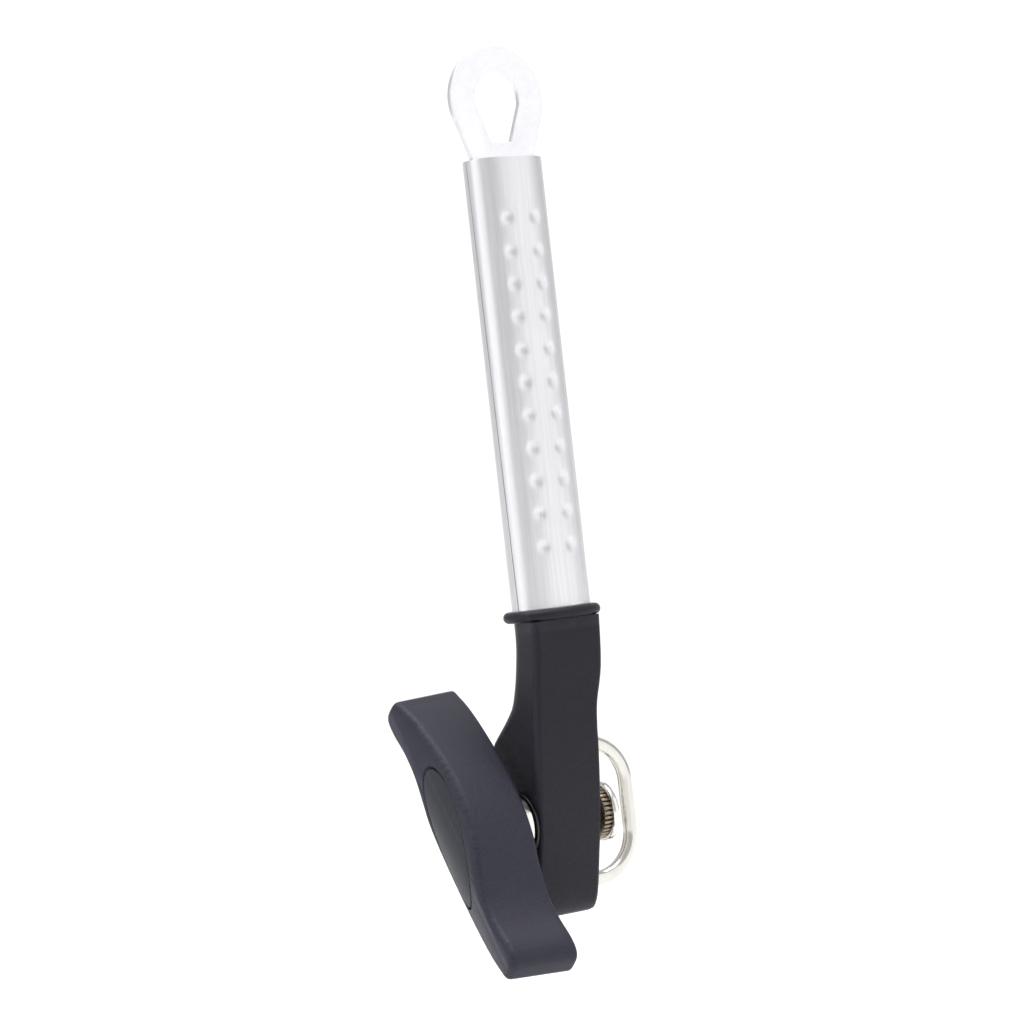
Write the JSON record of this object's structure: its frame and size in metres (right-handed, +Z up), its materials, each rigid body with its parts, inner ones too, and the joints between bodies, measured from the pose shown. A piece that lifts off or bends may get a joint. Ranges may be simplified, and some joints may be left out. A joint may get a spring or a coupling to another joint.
{
  "type": "manual can opener",
  "caption": "Manual can opener with a dimpled steel handle, hanging eye, moulded head, turning knob, toothed feed wheel, sprung cutting wheel and wire guide loop.",
  "frame": {"origin": "centre of the round part of the hanging eye, in the middle of the plate's thickness", "axes": "+Z up along the handle to the eye, -Y is the dimpled front, -X is the knob side and +X the wheel side"},
  "size_m": [0.0534, 0.0492, 0.2211],
  "materials": {
    "handle_steel": "satin, brushed along the handle",
    "eye_steel": "fine satin",
    "plug_plastic": "moulded grey",
    "head_plastic": "fine moulded grain, near black",
    "knob_plastic": "fine moulded grain, near black",
    "cap_plastic": "moulded grain, near black",
    "plate_steel": "stamped",
    "screw_steel": "turned",
    "pin_steel": "ground",
    "spring_steel": "drawn wire",
    "washer_steel": "bright plated",
    "loop_steel": "polished wire",
    "wheel_steel": "hardened and tumbled",
    "disc_steel": "polished",
    "bush_bronze": "sintered bronze"
  },
  "bodies": {
    "frame": {"front_shell": "handle_steel", "rear_shell": "handle_steel", "hanging_eye": "eye_steel", "rim_plug": "plug_plastic", "head_housing": "head_plastic", "carrier_plate": "plate_steel", "plate_screws": "screw_steel", "bearing_bush": "bush_bronze", "guide_loop": "loop_steel", "pivot_pin": "pin_steel", "pivot_clip": "pin_steel", "arm_spring": "spring_steel", "boss_washer": "washer_steel"},
    "drive": {"drive_shaft": "pin_steel", "feed_wheel": "wheel_steel", "flange_disc": "disc_steel", "wheel_screw": "screw_steel", "thrust_cup": "washer_steel", "disc_springs": "spring_steel", "knob_insert": "plate_steel", "knob_body": "knob_plastic", "knob_screw": "screw_steel", "knob_cap": "cap_plastic"},
    "arm": {"cutter_arm": "plate_steel", "cutter_axle": "pin_steel", "cutter_clip": "pin_steel"},
    "cutter": {"cutting_wheel": "wheel_steel"}
  },
  "joints": [
    {"name": "drive_turn", "type": "hinge", "parent": "frame", "child": "drive", "pos_m": [0, 0.003, -0.175], "axis": [1, 0, 0], "continuous": true},
    {"name": "arm_swing", "type": "hinge", "parent": "frame", "child": "arm", "pos_m": [0.009, 0.0152, -0.161], "axis": [1, 0, 0], "range_deg": [0, 12], "stiffness_Nm_per_rad": 0.05, "springref_deg": -17.19},
    {"name": "cutter_spin", "type": "hinge", "parent": "arm", "child": "cutter", "pos_m": [0.007, 0.0168, -0.175], "axis": [1, 0, 0], "continuous": true}
  ]
}
